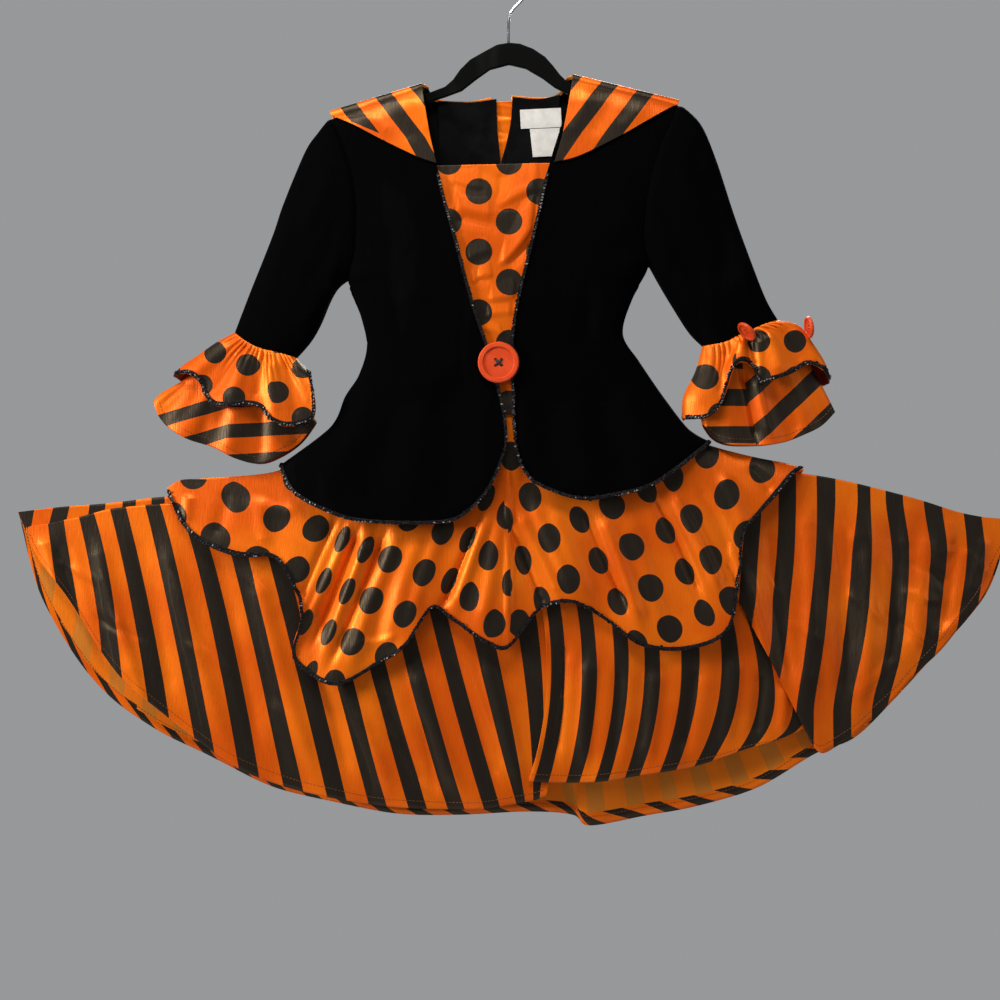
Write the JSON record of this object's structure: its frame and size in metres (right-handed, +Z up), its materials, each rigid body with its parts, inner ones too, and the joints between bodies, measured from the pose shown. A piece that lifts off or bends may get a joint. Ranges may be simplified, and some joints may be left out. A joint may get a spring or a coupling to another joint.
{
  "type": "witch costume on hanger",
  "caption": "Girl's witch costume on a flocked hanger: black velvet jacket, spotted orange satin bodice and overskirt, striped collar, ruffled cuffs and striped circle skirt.",
  "frame": {"origin": "the inside top of the hanger's wire hook, where the rail bears", "axes": "+X across the costume from its left in the picture to its right, +Y from front to back, +Z up; the front faces -Y"},
  "size_m": [0.988, 0.0655, 0.8699],
  "materials": {
    "satin_spotted": "orange satin with black spots about 27 mm across",
    "satin_striped": "orange and black satin stripes about 18 mm wide",
    "satin_orange": "plain orange satin",
    "velvet_black": "black stretch velvet",
    "lining_black": "glossy black lining",
    "sequin_black": "black sequin braid",
    "label_white": "off-white woven tape, bare",
    "button_orange": "orange-red moulded plastic",
    "flock_black": "black flocked plastic",
    "steel_hook": "bright plated wire"
  },
  "bodies": {
    "root": {"hanger_hook": "steel_hook", "hanger_body": "flock_black", "bodice_inset": "satin_spotted", "jacket_front_left": "velvet_black", "jacket_front_right": "velvet_black", "jacket_back_left": "velvet_black", "jacket_back_right": "velvet_black", "neck_facing_left": "lining_black", "neck_facing_right": "lining_black", "neck_placket": "satin_orange", "neck_label": "label_white", "care_label": "label_white", "sleeve_left": "velvet_black", "sleeve_right": "velvet_black", "ruffle_dots_left": "satin_spotted", "ruffle_dots_right": "satin_spotted", "ruffle_stripes_left": "satin_striped", "ruffle_stripes_right": "satin_striped", "collar_left": "satin_striped", "collar_right": "satin_striped", "collar_back_left": "satin_striped", "collar_back_right": "satin_striped", "skirt_back": "satin_striped", "skirt_front_left": "satin_striped", "skirt_front_mid": "satin_striped", "skirt_front_right": "satin_striped", "overskirt_front": "satin_spotted", "overskirt_back": "satin_spotted", "braid_edge_left": "sequin_black", "braid_edge_right": "sequin_black", "braid_hem_left": "sequin_black", "braid_hem_right": "sequin_black", "braid_back_left": "sequin_black", "braid_back_right": "sequin_black", "braid_overskirt_front": "sequin_black", "braid_overskirt_back": "sequin_black", "braid_cuff_left": "sequin_black", "braid_cuff_left_back": "sequin_black", "braid_cuff_right": "sequin_black", "braid_cuff_right_back": "sequin_black", "button_front": "button_orange", "cuff_button_inner": "button_orange", "cuff_button_outer": "button_orange"}
  },
  "joints": []
}
